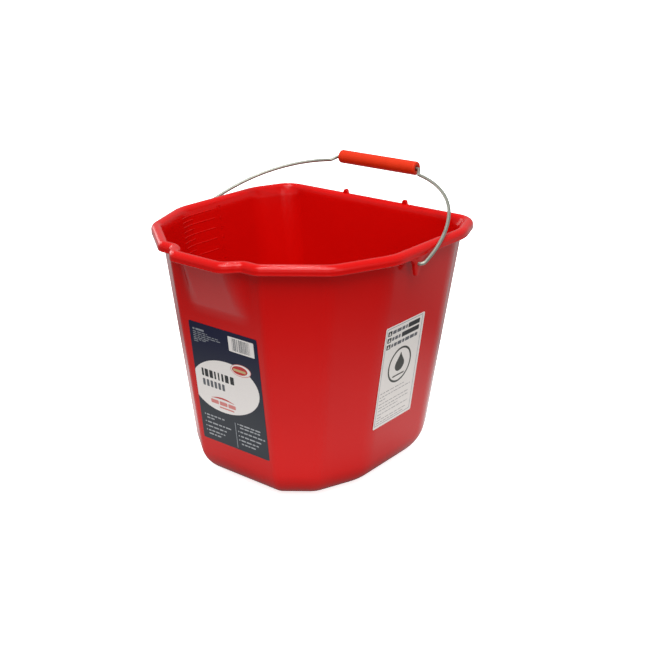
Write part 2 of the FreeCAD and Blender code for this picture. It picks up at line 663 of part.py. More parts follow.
front_label = label("front_label", "Sizes.front_label_width", "Sizes.front_label_height",
                    "Sizes.front_label_foot", "Sizes.front_label_x")
front_slope = value(f"atan({FRONT_RISE} / Sizes.lip_level)")
front_label.Placement = Placement(Vector(0, -value("Sizes.base_front"), 0), Rotation(0, 0, 90 + front_slope))
side_label = label("side_label", "Sizes.side_label_width", "Sizes.side_label_height",
                   "Sizes.side_label_foot", "Sizes.side_label_y")
side_slope = value(DRAFT)
side_label.Placement = Placement(Vector(value("Sizes.base_side"), 0, 0), Rotation(90, 0, 90 + side_slope))

document.recompute()
for item in document.Objects:
    for fault in ("Invalid", "Error"):
        assert fault not in item.State, f"{item.Label}: {item.State}"
os.makedirs("parts", exist_ok=True)
for piece in (bucket, bail_wire, grip, front_label, side_label):
    shape = piece.Shape
    assert not shape.isNull(), piece.Label
    assert shape.isValid(), piece.Label
    assert len(shape.Solids) == 1, f"{piece.Label} is {len(shape.Solids)} solids"
    print(piece.Label, round(shape.Volume / 1000, 2), "cm3")
    shape.exportStep(f"parts/{piece.Label}.step")
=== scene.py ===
import bmesh
import bpy
import math
import random
from mathutils import Matrix, Vector


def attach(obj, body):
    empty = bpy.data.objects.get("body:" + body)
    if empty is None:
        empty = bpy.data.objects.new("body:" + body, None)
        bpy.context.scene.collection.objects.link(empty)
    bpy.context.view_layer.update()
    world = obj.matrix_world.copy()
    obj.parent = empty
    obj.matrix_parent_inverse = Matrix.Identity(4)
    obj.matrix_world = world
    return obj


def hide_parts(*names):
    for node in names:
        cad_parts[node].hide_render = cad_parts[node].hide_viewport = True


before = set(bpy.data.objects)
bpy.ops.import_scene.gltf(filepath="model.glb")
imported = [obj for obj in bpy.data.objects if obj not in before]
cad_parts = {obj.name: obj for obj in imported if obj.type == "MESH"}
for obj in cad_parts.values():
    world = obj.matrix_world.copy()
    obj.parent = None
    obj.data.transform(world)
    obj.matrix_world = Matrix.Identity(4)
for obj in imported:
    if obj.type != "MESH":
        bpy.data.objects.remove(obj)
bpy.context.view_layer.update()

# ---------------------------------------------------------------------------
# Bucket shell: one injection-moulded wall of red polypropylene, 2.5 mm thick, with a big radius
# round the floor, a pouring spout drawn out of the front and a hollow lip rolled over the rim.
# ---------------------------------------------------------------------------
LIP_LEVEL = 283.5
BASE_PLAN = {"front": 115.4, "back": 115.4, "side": 112.0, "front_half": 54.0, "facet_half": 89.6,
             "facet_front": 88.4, "side_front": 30.6, "side_back": 78.4, "back_half": 93.0}
LIP_PLAN = {"front": 151.9, "back": 136.3, "side": 154.0, "front_half": 66.2, "facet_half": 126.5,
            "facet_front": 106.3, "side_front": 40.8, "side_back": 87.0, "back_half": 135.3}
# Each corner: its distance across, its distance along with the sign of it, and its radius.
CORNERS = [("front_half", "front", -1, 12.0), ("facet_half", "facet_front", -1, 30.0),
           ("side", "side_front", -1, 60.0), ("side", "side_back", 1, 55.0), ("back_half", "back", 1, 24.0)]
RUN_STEPS = [64, 10, 14, 26, 12, 26]
CORNER_STEPS = 14
WALL = 2.5
LIP_RADIUS = 6.1
LIP_WALL = 2.2
LIP_SKIRT = 4.5
LIP_SEAT = 1.5
LIP_ROLL = math.radians(165)
LIP_RUN_IN = 4.0
LIP_OVER_WALL = 4.5
BOTTOM_ROUND = 42.0
SPOUT_REACH = 17.1
SPOUT_NOSE = 33.3
SPOUT_ROOT = 46.9
SPOUT_DEPTH = 62.0
SPOUT_SOFT = 6.0
WALL_TOP_SCALE = 1 - LIP_OVER_WALL / LIP_PLAN["side"]
SIDE_RISE = LIP_PLAN["side"] * WALL_TOP_SCALE - BASE_PLAN["side"]
DRAFT = math.atan(SIDE_RISE / LIP_LEVEL)


def half_plan(spans, radii):
    """Right half of a closed plan, front middle to back middle, with every corner rounded."""
    corners = [Vector((spans[across], sign * spans[along])) for across, along, sign, _ in CORNERS]
    ends = [Vector((0, corners[0].y))] + corners + [Vector((0, corners[-1].y))]
    points = []
    start = ends[0]
    for index, corner in enumerate(corners):
        to_last = (ends[index] - corner).normalized()
        to_next = (ends[index + 2] - corner).normalized()
        half_angle = to_last.angle(to_next) / 2
        radius = radii[index]
        enter = corner + to_last * radius / math.tan(half_angle)
        centre = corner + (to_last + to_next).normalized() * radius / math.sin(half_angle)
        for step in range(RUN_STEPS[index]):
            points.append(start.lerp(enter, step / RUN_STEPS[index]))
        turn = math.pi - 2 * half_angle
        for step in range(CORNER_STEPS):
            spoke = Matrix.Rotation(turn * step / CORNER_STEPS, 2) @ (enter - centre)
            points.append(centre + spoke)
        start = corner + to_next * radius / math.tan(half_angle)
    for step in range(RUN_STEPS[-1] + 1):
        points.append(start.lerp(ends[-1], step / RUN_STEPS[-1]))
    return points


def soft_step(distance):
    """Distance past a bend, eased over the bend's own length on both sides of it."""
    if distance <= -SPOUT_SOFT:
        return 0.0
    if distance >= SPOUT_SOFT:
        return distance
    return (distance + SPOUT_SOFT) ** 2 / (4 * SPOUT_SOFT)


def spout_share(across, inward):
    """Share of the spout's reach at a distance from the middle of the front."""
    rise = soft_step(SPOUT_ROOT - inward - abs(across)) - soft_step(SPOUT_NOSE - inward - abs(across))
    return rise / (SPOUT_ROOT - SPOUT_NOSE)


def closed(half):
    """Whole plan from its right half."""
    mirrored = [Vector((-point.x, point.y)) for point in half[-2:0:-1]]
    return half + mirrored


def wall_loop(level, inset, skin):
    """Plan of one face of the wall at a level, drawn in from the outer face by the inset."""
    rise = level / LIP_LEVEL
    shrink = 1 - inset / (BASE_PLAN["side"] + SIDE_RISE * rise)
    spans = {}
    for name, base in BASE_PLAN.items():
        spans[name] = (base + (LIP_PLAN[name] * WALL_TOP_SCALE - base) * rise) * shrink
    loop = closed(half_plan(spans, [radius * shrink for *_, radius in CORNERS]))
    reach = SPOUT_REACH * max(0.0, 1 - (LIP_LEVEL - level) / SPOUT_DEPTH)
    inward = (LIP_OVER_WALL + skin) / 2
    placed = []
    for point in loop:
        drawn = reach * spout_share(point.x, inward) if point.y < 0 else 0.0
        placed.append(Vector((point.x, point.y - drawn, level)))
    return placed


lip_path = closed(half_plan(LIP_PLAN, [radius for *_, radius in CORNERS]))
for point in lip_path:
    if point.y < 0:
        point.y -= SPOUT_REACH * spout_share(point.x, 0.0)
lip_outward = []
for index, point in enumerate(lip_path):
    along = lip_path[(index + 1) % len(lip_path)] - lip_path[index - 1]
    lip_outward.append(Vector((along.y, -along.x)).normalized())


def lip_loop(outward, level):
    """Closed line along the lip at a distance outwards from the middle of its roll."""
    placed = []
    for point, normal in zip(lip_path, lip_outward):
        moved = point + normal * outward
        placed.append(Vector((moved.x, moved.y, level)))
    return placed


FLOOR_SHARES = (0.03, 0.15, 0.3, 0.5, 0.7, 0.85, 0.93, 0.97)
BOTTOM_STEPS = 18
LOW_WALL_STEPS = 18
SPOUT_STEPS = 16


def wall_rows(skin, top):
    """Loops of one face of the wall, from the middle of the floor up to a level under the lip."""
    radius = BOTTOM_ROUND - skin
    quarter = math.pi / 2 - DRAFT
    first_inset = (skin + radius * (1 - math.cos(quarter))) / math.cos(DRAFT)
    rows = []
    for share in FLOOR_SHARES:
        inset = BASE_PLAN["side"] - (BASE_PLAN["side"] - first_inset) * share
        rows.append(wall_loop(skin, inset, skin))
    for band in range(BOTTOM_STEPS + 1):
        turn = quarter * band / BOTTOM_STEPS
        level = skin + radius * (1 - math.cos(turn))
        inset = (skin + radius * (1 - math.cos(quarter - turn))) / math.cos(DRAFT)
        rows.append(wall_loop(level, inset, skin))
    low = skin + radius * (1 - math.cos(quarter))
    middle = LIP_LEVEL - SPOUT_DEPTH
    for step in range(1, LOW_WALL_STEPS + 1):
        level = low + (middle - low) * step / LOW_WALL_STEPS
        rows.append(wall_loop(level, skin / math.cos(DRAFT), skin))
    for step in range(1, SPOUT_STEPS + 1):
        level = middle + (top - middle) * step / SPOUT_STEPS
        rows.append(wall_loop(level, skin / math.cos(DRAFT), skin))
    return rows


LIP_HOLLOW = LIP_RADIUS - LIP_WALL
LIP_FOOT = LIP_LEVEL - LIP_SKIRT
LIP_BEAD = LIP_WALL / 2
SKIRT_BEND = 2.0
SKIRT_PINCH = ((0.05, 1.6), (0.14, 2.2), (0.14, 2.9), (0.05, 3.7))
HOLLOW_STEPS = 8
BEAD_STEPS = 8
ROLL_STEPS = 18
lip_rows = []
for step in range(HOLLOW_STEPS + 1):
    turn = math.pi * (1 - step / HOLLOW_STEPS)
    lip_rows.append(lip_loop(LIP_HOLLOW * math.cos(turn), LIP_LEVEL + LIP_HOLLOW * math.sin(turn)))
for level in (LIP_LEVEL - LIP_SEAT, LIP_FOOT + SKIRT_BEND):
    lip_rows.append(lip_loop(LIP_HOLLOW, level))
for step in range(BEAD_STEPS + 1):
    turn = math.pi * (1 + step / BEAD_STEPS)
    lip_rows.append(lip_loop(LIP_RADIUS - LIP_BEAD + LIP_BEAD * math.cos(turn),
                             LIP_FOOT + LIP_BEAD + LIP_BEAD * math.sin(turn)))
for pinch, rise in SKIRT_PINCH:
    lip_rows.append(lip_loop(LIP_RADIUS - pinch, LIP_FOOT + rise))
for step in range(ROLL_STEPS + 1):
    turn = LIP_ROLL * step / ROLL_STEPS
    lip_rows.append(lip_loop(LIP_RADIUS * math.cos(turn), LIP_LEVEL + LIP_RADIUS * math.sin(turn)))

shell_rows = wall_rows(0.0, LIP_LEVEL - LIP_SEAT) + lip_rows
shell_rows += wall_rows(WALL, LIP_LEVEL - LIP_RUN_IN)[::-1]
around = len(lip_path)
shell_points = [point / 1000 for row in shell_rows for point in row]
shell_faces = []
for row in range(len(shell_rows) - 1):
    for index in range(around):
        after = (index + 1) % around
        low = row * around
        high = low + around
        shell_faces.append((low + index, low + after, high + after, high + index))
last = (len(shell_rows) - 1) * around
shell_faces.append(tuple(range(around - 1, -1, -1)))
shell_faces.append(tuple(range(last, last + around)))


def new_piece(name, points, faces, material, smooth=True):
    """Object in the scene made from points in metres and faces."""
    mesh = bpy.data.meshes.new(name)
    mesh.from_pydata(points, [], faces)
    mesh.polygons.foreach_set("use_smooth", [smooth] * len(mesh.polygons))
    mesh.materials.append(material)
    mesh.validate()
    piece = bpy.data.objects.new(name, mesh)
    bpy.context.scene.collection.objects.link(piece)
    return piece


def colour(code):
    """Linear colour from an sRGB hex code."""
    channels = [int(code[start:start + 2], 16) / 255 for start in (1, 3, 5)]
    return [c / 12.92 if c <= 0.04045 else ((c + 0.055) / 1.055) ** 2.4 for c in channels] + [1.0]


def node(material, kind, inputs=None, **settings):
    """Node of a material with its settings, its values and the sockets that feed it."""
    made = material.node_tree.nodes.new(kind)
    for name, setting in settings.items():
        setattr(made, name, setting)
    for name, source in (inputs or {}).items():
        if isinstance(source, bpy.types.NodeSocket):
            material.node_tree.links.new(source, made.inputs[name])
        else:
            made.inputs[name].default_value = source
    return made


def new_material(name):
    """Material with one shader, and the shader."""
    material = bpy.data.materials.new(name)
    material.use_nodes = True
    return material, material.node_tree.nodes["Principled BSDF"]


def feed(material, source, shader, socket):
    """Links a node's output to one of the shader's sockets."""
    material.node_tree.links.new(source, shader.inputs[socket])


# Moulded polypropylene: a deep even red with a satin gloss. The mould's polish leaves a fine
# orange peel about 1.5 mm across, and the cooling wall sinks in waves some 40 mm long.
red_plastic, red_shader = new_material("moulded_red_polypropylene")
red_shader.inputs["IOR"].default_value = 1.49
red_shader.inputs["Specular IOR Level"].default_value = 0.28
place = node(red_plastic, "ShaderNodeTexCoord").outputs["Object"]
flow = node(red_plastic, "ShaderNodeTexNoise", {"Vector": place, "Scale": 14.0, "Detail": 3.0})
tint = node(red_plastic, "ShaderNodeMix", {"Factor": flow.outputs["Fac"], "A": colour("#C80503"),
                                           "B": colour("#D00804")}, data_type="RGBA")
feed(red_plastic, tint.outputs["Result"], red_shader, "Base Color")
polish = node(red_plastic, "ShaderNodeTexNoise", {"Vector": place, "Scale": 55.0, "Detail": 5.0})
gloss = node(red_plastic, "ShaderNodeMapRange", {"Value": polish.outputs["Fac"], "To Min": 0.15,
                                                 "To Max": 0.23})
feed(red_plastic, gloss.outputs["Result"], red_shader, "Roughness")
sink = node(red_plastic, "ShaderNodeTexNoise", {"Vector": place, "Scale": 25.0, "Detail": 1.0})
peel = node(red_plastic, "ShaderNodeTexNoise", {"Vector": place, "Scale": 650.0, "Detail": 2.0})
waves = node(red_plastic, "ShaderNodeBump", {"Height": sink.outputs["Fac"], "Distance": 0.0002,
                                             "Strength": 0.25})
relief = node(red_plastic, "ShaderNodeBump", {"Height": peel.outputs["Fac"], "Distance": 0.00002,
                                              "Strength": 0.5, "Normal": waves.outputs["Normal"]})
feed(red_plastic, relief.outputs["Normal"], red_shader, "Normal")

shell = new_piece("bucket_shell", shell_points, shell_faces, red_plastic)
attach(shell, "bucket")
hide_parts("bucket")

# ---------------------------------------------------------------------------
# Ears: a flat tongue of the same moulding that hangs from each side of the lip, flared into it,
# thinner and narrower at the toe, with a hole that holds the end of the bail wire.
# ---------------------------------------------------------------------------
EAR_Y = -5.0
EAR_HALF = 5.0
EAR_FLARE = 11.0
EAR_TOE = 12.0
EAR_THICK = 5.0
EAR_TAPER = 2.0
EAR_DROP = 20.5
EAR_LAP = 3.0
EAR_EDGE = 0.7
TOE_LEVEL = LIP_FOOT - EAR_DROP
LIP_OUTER = LIP_PLAN["side"] + LIP_RADIUS
EAR_FACE = LIP_OUTER - 0.2
EAR_BACK = LIP_OUTER - EAR_THICK
PIVOT_LEVEL = 272.7
BORE_RADIUS = 2.0
TOE_ROUND = 2.4
TOE_FACE = BASE_PLAN["side"] + SIDE_RISE * TOE_LEVEL / LIP_LEVEL + EAR_TOE
FLARE_STEPS = 8
TOE_STEPS = 6
DRILL_MIDDLE = 160.0
DRILL_LENGTH = 17.0
DRILL_SIDES = 40
SHARP_EDGE = math.radians(40)


def settle(piece):
    """Applies the piece's modifiers to its mesh."""
    shaped = piece.evaluated_get(bpy.context.evaluated_depsgraph_get())
    mesh = bpy.data.meshes.new_from_object(shaped)
    piece.modifiers.clear()
    piece.data = mesh


def bevelled(piece, width):
    """Rounds the piece's sharp edges for good, as the mould does."""
    bevel = piece.modifiers.new("mould_round", "BEVEL")
    bevel.width = width / 1000
    bevel.segments = 3
    bevel.limit_method = "ANGLE"
    bevel.angle_limit = math.radians(30)
    bevel.harden_normals = False
    settle(piece)


def ear(name, side):
    """Ear on one side of the lip: side 1 is the right, -1 the left."""
    outline = [(-EAR_HALF - EAR_FLARE, LIP_FOOT + EAR_LAP), (-EAR_HALF - EAR_FLARE, LIP_FOOT)]
    for step in range(1, FLARE_STEPS + 1):
        turn = math.pi / 2 * (1 - step / FLARE_STEPS)
        outline.append((-EAR_HALF - EAR_FLARE + EAR_FLARE * math.cos(turn),
                        LIP_FOOT - EAR_FLARE + EAR_FLARE * math.sin(turn)))
    for step in range(TOE_STEPS + 1):
        turn = math.pi / 2 * step / TOE_STEPS
        outline.append((EAR_TAPER - EAR_HALF + TOE_ROUND * (1 - math.cos(turn)),
                        TOE_LEVEL + TOE_ROUND * (1 - math.sin(turn))))
    outline += [(-across, level) for across, level in outline[::-1]]
    mesh = bmesh.new()
    outer_ring = []
    inner_ring = []
    for across, level in outline:
        slope = (LIP_FOOT - LIP_WALL - level) / (LIP_FOOT - LIP_WALL - TOE_LEVEL)
        face = EAR_FACE - max(0.0, slope) * (EAR_FACE - TOE_FACE)
        along = (EAR_Y + across) / 1000
        outer_ring.append(mesh.verts.new((side * face / 1000, along, level / 1000)))
        inner_ring.append(mesh.verts.new((side * EAR_BACK / 1000, along, level / 1000)))
    count = len(outline)
    half = count // 2
    for ring in (outer_ring, inner_ring):
        for index in range(half - 1):
            mesh.faces.new((ring[index], ring[index + 1],
                            ring[count - 2 - index], ring[count - 1 - index]))
    for index in range(count):
        after = (index + 1) % count
        mesh.faces.new((outer_ring[index], outer_ring[after], inner_ring[after], inner_ring[index]))
    bmesh.ops.recalc_face_normals(mesh, faces=mesh.faces)
    data = bpy.data.meshes.new(name)
    mesh.to_mesh(data)
    mesh.free()
    data.materials.append(red_plastic)
    piece = bpy.data.objects.new(name, data)
    bpy.context.scene.collection.objects.link(piece)
    bevelled(piece, EAR_EDGE)
    drill = bmesh.new()
    across_x = Matrix.Rotation(math.pi / 2, 4, "Y")
    pivot = Matrix.Translation((side * DRILL_MIDDLE / 1000, EAR_Y / 1000, PIVOT_LEVEL / 1000))
    bmesh.ops.create_cone(drill, cap_ends=True, segments=DRILL_SIDES, radius1=BORE_RADIUS / 1000,
                          radius2=BORE_RADIUS / 1000, depth=DRILL_LENGTH / 1000, matrix=pivot @ across_x)
    drill_data = bpy.data.meshes.new("drill")
    drill.to_mesh(drill_data)
    drill.free()
    drill_piece = bpy.data.objects.new("drill", drill_data)
    bpy.context.scene.collection.objects.link(drill_piece)
    cut = piece.modifiers.new("bore", "BOOLEAN")
    cut.operation = "DIFFERENCE"
    cut.object = drill_piece
    settle(piece)
    bpy.data.objects.remove(drill_piece)
    piece.data.polygons.foreach_set("use_smooth", [True] * len(piece.data.polygons))
    piece.data.set_sharp_from_angle(angle=SHARP_EDGE)
    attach(piece, "bucket")


ear("right_ear", 1)
ear("left_ear", -1)

# ---------------------------------------------------------------------------
# Tabs: two round-headed tabs moulded on the back of the lip, 4 mm thick.
# ---------------------------------------------------------------------------
TAB_X = 44.0
TAB_RADIUS = 3.2
TAB_FLARE = 1.6
TAB_SHOULDER = 0.4
TAB_SUNK = 1.6
TAB_HEIGHT = 5.0
TAB_THICK = 4.0
TAB_EDGE = 0.6
TAB_STEPS = 12
TAB_FOOT = LIP_LEVEL + LIP_RADIUS
TAB_NECK = TAB_FOOT + TAB_HEIGHT - TAB_RADIUS


def tab(name, across):
    """Tab on the back of the lip, at a distance across from the middle."""
    outline = [(-TAB_RADIUS - TAB_FLARE, TAB_FOOT - TAB_SUNK), (-TAB_RADIUS - TAB_SHOULDER, TAB_FOOT)]
    for step in range(TAB_STEPS + 1):
        outline.append((TAB_RADIUS * math.cos(math.pi * (1 - step / TAB_STEPS)),
                        TAB_NECK + TAB_RADIUS * math.sin(math.pi * step / TAB_STEPS)))
    outline += [(TAB_RADIUS + TAB_SHOULDER, TAB_FOOT), (TAB_RADIUS + TAB_FLARE, TAB_FOOT - TAB_SUNK)]
    points = []
    for along in (LIP_PLAN["back"] - TAB_THICK / 2, LIP_PLAN["back"] + TAB_THICK / 2):
        points += [((across + x) / 1000, along / 1000, z / 1000) for x, z in outline]
    count = len(outline)
    faces = [tuple(range(count)), tuple(range(2 * count - 1, count - 1, -1))]
    for index in range(count):
        after = (index + 1) % count
        faces.append((index, index + count, after + count, after))
    piece = new_piece(name, points, faces, red_plastic)
    bevelled(piece, TAB_EDGE)
    piece.data.polygons.foreach_set("use_smooth", [True] * len(piece.data.polygons))
    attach(piece, "bucket")


tab("left_tab", -TAB_X)
tab("right_tab", TAB_X)

# ---------------------------------------------------------------------------
# Volume marks: raised lines moulded inside the left wall, every second one long with a raised
# numeral at its end.
# ---------------------------------------------------------------------------
MARK_FRONT = -52.0
MARK_PROUD = 0.32
MARK_TOP = LIP_LEVEL - 4.7
MARK_SPACING = 5.2
MARK_SPREAD = 0.1125
MARK_COUNT = 25
MARK_END = -0.3
LONG_MARK = (60.0, 24)
SHORT_MARK = (23.0, 12)
MARK_SECTION = [(-0.7, -0.15), (-0.5, 0.55), (-0.2, 0.95), (0.2, 0.95), (0.5, 0.55), (0.7, -0.15)]
LEFT_LIMIT = -60.0


def left_inside(along, level, proud):
    """Point proud of the inside of the left wall, at a distance along it and a level, in metres."""
    loop = [point for point in wall_loop(level, WALL / math.cos(DRAFT), WALL) if point.x < LEFT_LIMIT]
    for before, after in zip(loop, loop[1:]):
        if (before.y - along) * (after.y - along) <= 0 and before.y != after.y:
            spot = before.lerp(after, (along - before.y) / (after.y - before.y))
            heading = (after - before).normalized()
            return (spot + Vector((-heading.y, heading.x, 0.0)) * proud) / 1000
    raise ValueError("there is no wall there")


mark_levels = [MARK_TOP - MARK_SPACING * number - MARK_SPREAD * number ** 2 for number in range(MARK_COUNT)]
mark_points = []
mark_faces = []
for number, level in enumerate(mark_levels):
    reach, steps = SHORT_MARK if number % 2 else LONG_MARK
    first = len(mark_points)
    for step in range(steps + 1):
        along = MARK_FRONT + reach * step / steps
        for rise, share in MARK_SECTION:
            proud = MARK_PROUD * (MARK_END if step in (0, steps) else share)
            mark_points.append(left_inside(along, level + rise, proud))
    width = len(MARK_SECTION)
    for station in range(steps):
        for index in range(width - 1):
            corner = first + station * width + index
            mark_faces.append((corner, corner + 1, corner + width + 1, corner + width))
marks = new_piece("volume_marks", mark_points, mark_faces, red_plastic)
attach(marks, "bucket")

NUMERAL_COUNT = 13
NUMERAL_TOP = 17
NUMERAL_SIZE = 8.0
NUMERAL_PROUD = 0.3
NUMERAL_LIFT = 0.05
NUMERAL_FRONT = 10.5
NUMERAL_DROP = 2.9
numeral_points = []
numeral_faces = []
for number in range(NUMERAL_COUNT):
    writing = bpy.data.curves.new("numeral", "FONT")
    writing.body = str(NUMERAL_TOP - number)
    writing.size = NUMERAL_SIZE
    writing.extrude = NUMERAL_PROUD
    written = bpy.data.objects.new("numeral", writing)
    bpy.context.scene.collection.objects.link(written)
    bpy.context.view_layer.update()
    outlined = written.evaluated_get(bpy.context.evaluated_depsgraph_get())
    shape = bpy.data.meshes.new_from_object(outlined)
    first = len(numeral_points)
    for vertex in shape.vertices:
        along = NUMERAL_FRONT + vertex.co.x
        level = mark_levels[2 * number] - NUMERAL_DROP + vertex.co.y
        numeral_points.append(left_inside(along, level, NUMERAL_LIFT + vertex.co.z))
    numeral_faces += [tuple(first + index for index in face.vertices) for face in shape.polygons]
    bpy.data.objects.remove(written)
numerals = new_piece("volume_numerals", numeral_points, numeral_faces, red_plastic, smooth=False)
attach(numerals, "bucket")

# ---------------------------------------------------------------------------
# Front label: glossy printed film, 0.2 mm thick, shaded from dark navy at the top to slate at the
# foot, with a white oval panel, a bar block and rows of plain bars printed over it.
# ---------------------------------------------------------------------------
LABEL_FACE = 0.22
FRONT_RISE = LIP_PLAN["front"] * WALL_TOP_SCALE - BASE_PLAN["front"]
FRONT_SLOPE = math.atan(FRONT_RISE / LIP_LEVEL)
BAR_CORNER = 0.6
BAR_CORNER_SHARE = 0.2
OVAL_STEPS = 96
SHORTEST_WORD = 3.0
LONGEST_WORD = 8.5
WORD_GAP = 1.3
LEAST_REST = 1.5
INK_LIFT = 0.02
INK_LAYER = 0.012


def on_front(across, up, out):
    """Point on the front wall in metres: across, up its slope, and out from its face."""
    y = -BASE_PLAN["front"] - up * math.sin(FRONT_SLOPE) - out * math.cos(FRONT_SLOPE)
    z = up * math.cos(FRONT_SLOPE) - out * math.sin(FRONT_SLOPE)
    return (across / 1000, y / 1000, z / 1000)


def bar(left, right, low, high):
    """Outline of a plain bar with its corners just off."""
    cut = min(BAR_CORNER, BAR_CORNER_SHARE * min(right - left, high - low))
    return [(left + cut, low), (right - cut, low), (right, low + cut), (right, high - cut),
            (right - cut, high), (left + cut, high), (left, high - cut), (left, low + cut)]


def oval(across, up, wide, tall, tilt=0.0, left_edge=-math.inf):
    """Outline of a tilted oval, cut off straight at the label's left edge."""
    outline = []
    for step in range(OVAL_STEPS):
        turn = 2 * math.pi * step / OVAL_STEPS
        x = wide * math.cos(turn)
        y = tall * math.sin(turn)
        outline.append((max(left_edge, across + x * math.cos(tilt) - y * math.sin(tilt)),
                        up + x * math.sin(tilt) + y * math.cos(tilt)))
    return outline


def words(dice, left, right, up, tall):
    """Row of plain bars as long as the words of a line of small print."""
    row = []
    start = left
    while start < right - LEAST_REST:
        end = min(right, start + dice.uniform(SHORTEST_WORD, LONGEST_WORD))
        row.append(bar(start, end, up - tall / 2, up + tall / 2))
        start = end + WORD_GAP
    return row


def printed(name, place_on, outlines, layer, material):
    """Ink in flat patches on a label; each layer lies a hundredth of a millimetre over the last."""
    points = []
    faces = []
    for outline in outlines:
        faces.append(tuple(range(len(points), len(points) + len(outline))))
        points += [place_on(across, up, LABEL_FACE + INK_LIFT + INK_LAYER * layer) for across, up in outline]
    piece = new_piece(name, points, faces, material, smooth=False)
    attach(piece, "bucket")


def ink(name, code):
    """Screen-printed ink: flat matt colour, a little uneven where the mesh of the screen held it."""
    material, shader = new_material(name)
    where = node(material, "ShaderNodeTexCoord").outputs["Object"]
    cover = node(material, "ShaderNodeTexNoise", {"Vector": where, "Scale": 900.0, "Detail": 2.0})
    full = colour(code)
    thin = [channel * 0.9 for channel in full[:3]] + [1.0]
    shade = node(material, "ShaderNodeMix", {"Factor": cover.outputs["Fac"], "A": thin, "B": full},
                 data_type="RGBA")
    feed(material, shade.outputs["Result"], shader, "Base Color")
    sheen = node(material, "ShaderNodeMapRange", {"Value": cover.outputs["Fac"], "To Min": 0.3,
                                                  "To Max": 0.42})
    feed(material, sheen.outputs["Result"], shader, "Roughness")
    return material


def film(name):
    """Film label: smooth gloss, with faint ripples some 12 mm long where it went on by hand."""
    material, shader = new_material(name)
    where = node(material, "ShaderNodeTexCoord").outputs["Object"]
    ripple = node(material, "ShaderNodeTexNoise", {"Vector": where, "Scale": 80.0, "Detail": 2.0})
    relief = node(material, "ShaderNodeBump", {"Height": ripple.outputs["Fac"], "Distance": 0.0001,
                                               "Strength": 0.3})
    feed(material, relief.outputs["Normal"], shader, "Normal")
    dull = node(material, "ShaderNodeMapRange", {"Value": ripple.outputs["Fac"], "To Min": 0.25,
                                                 "To Max": 0.4})
    feed(material, dull.outputs["Result"], shader, "Roughness")
    return material, shader, where, ripple


# Navy film: the printed ground shades off from slate at the foot to a deep navy at the top.
navy_film, navy_shader, navy_place, _ = film("printed_navy_film")
navy_height = node(navy_film, "ShaderNodeSeparateXYZ", {"Vector": navy_place})
navy_fade = node(navy_film, "ShaderNodeMapRange", {"Value": navy_height.outputs["Z"], "From Min": 0.095,
                                                   "From Max": 0.19, "To Min": 0.0, "To Max": 1.0})
navy_tone = node(navy_film, "ShaderNodeMix", {"Factor": navy_fade.outputs["Result"], "A": colour("#30343B"),
                                              "B": colour("#0A1034")}, data_type="RGBA")
feed(navy_film, navy_tone.outputs["Result"], navy_shader, "Base Color")
navy_shader.inputs["Specular IOR Level"].default_value = 0.25
for material_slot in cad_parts["front_label"].material_slots:
    material_slot.material = navy_film

white_ink = ink("screen_printed_white", "#F0EAE6")
grey_ink = ink("screen_printed_grey", "#8C9096")
black_ink = ink("screen_printed_black", "#15171A")
slate_ink = ink("screen_printed_slate", "#5A5C62")
red_ink = ink("screen_printed_red", "#C22420")
pale_red_ink = ink("screen_printed_pale_red", "#D9807A")
gold_ink = ink("screen_printed_gold", "#C9B07A")

small_print = random.Random(16)
heading_rows = [bar(-43.5, -40.5, 192.8, 195.0), bar(-39.0, -26.5, 192.8, 195.0)]
for up, right in ((190.6, -22.0), (188.2, -5.0), (185.8, -3.5),
                  (183.4, -21.0), (181.4, -24.0), (179.0, -37.0)):
    heading_rows += words(small_print, -43.5, right, up, 1.0)
note_rows = []
left_notes = ((87.0, True, -12.0), (83.0, False, -28.0), (77.4, True, -3.5),
              (71.8, True, -11.0), (66.4, True, -14.0), (62.0, False, -21.0))
right_notes = ((88.2, True, 43.0), (84.4, False, 43.0), (79.0, True, 47.0),
               (73.4, True, 42.0), (68.0, True, 37.5), (63.4, False, 32.0))
for left, rows in ((-42.5, left_notes), (7.5, right_notes)):
    for up, bullet, right in rows:
        if bullet:
            note_rows.append(oval(left + 0.8, up, 0.9, 0.9))
        note_rows += words(small_print, left + 3.2, right, up, 1.7)
printed("front_print_small", on_front, heading_rows, 0, grey_ink)
printed("front_print_notes", on_front, note_rows, 0, ink("screen_printed_light_grey", "#A4A7AB"))
printed("front_print_divider", on_front, [bar(3.6, 4.5, 56.5, 89.0)], 0, grey_ink)
panel = oval(-4.5, 130.2, 50.9, 32.6, math.radians(9.5), -48.3)
printed("front_print_panel", on_front, [panel], 0, white_ink)
printed("front_print_block", on_front, [bar(8.7, 45.3, 179.4, 197.2)], 0, white_ink)
stripes = []
across = 14.0
while across < 39.0:
    thick = small_print.choice((0.4, 0.7, 1.1))
    stripes.append(bar(across, across + thick, 181.0, 195.8))
    across += thick + small_print.choice((0.5, 0.8, 1.2))
printed("front_print_stripes", on_front, stripes, 1, slate_ink)
bold_bars = []
for left, wide in ((-38.0, 3.0), (-33.4, 5.2), (-26.4, 5.2), (-19.2, 2.6),
                   (-13.6, 2.2), (-8.4, 3.0), (-3.2, 5.4), (4.6, 5.6)):
    bold_bars.append(bar(left, left + wide, 137.2, 146.8))
printed("front_print_bold_bars", on_front, bold_bars, 1, black_ink)
light_bars = [bar(left, left + 3.8, 125.4, 133.8) for left in (-38.0, -32.2, -26.4, -20.6, -14.8, -9.0)]
printed("front_print_light_bars", on_front, light_bars, 1, slate_ink)
printed("front_print_badge_edge", on_front, [oval(22.4, 158.6, 14.9, 7.4, math.radians(4))], 1, pale_red_ink)
printed("front_print_badge", on_front, [oval(22.4, 158.6, 14.2, 6.7, math.radians(4))], 2, white_ink)
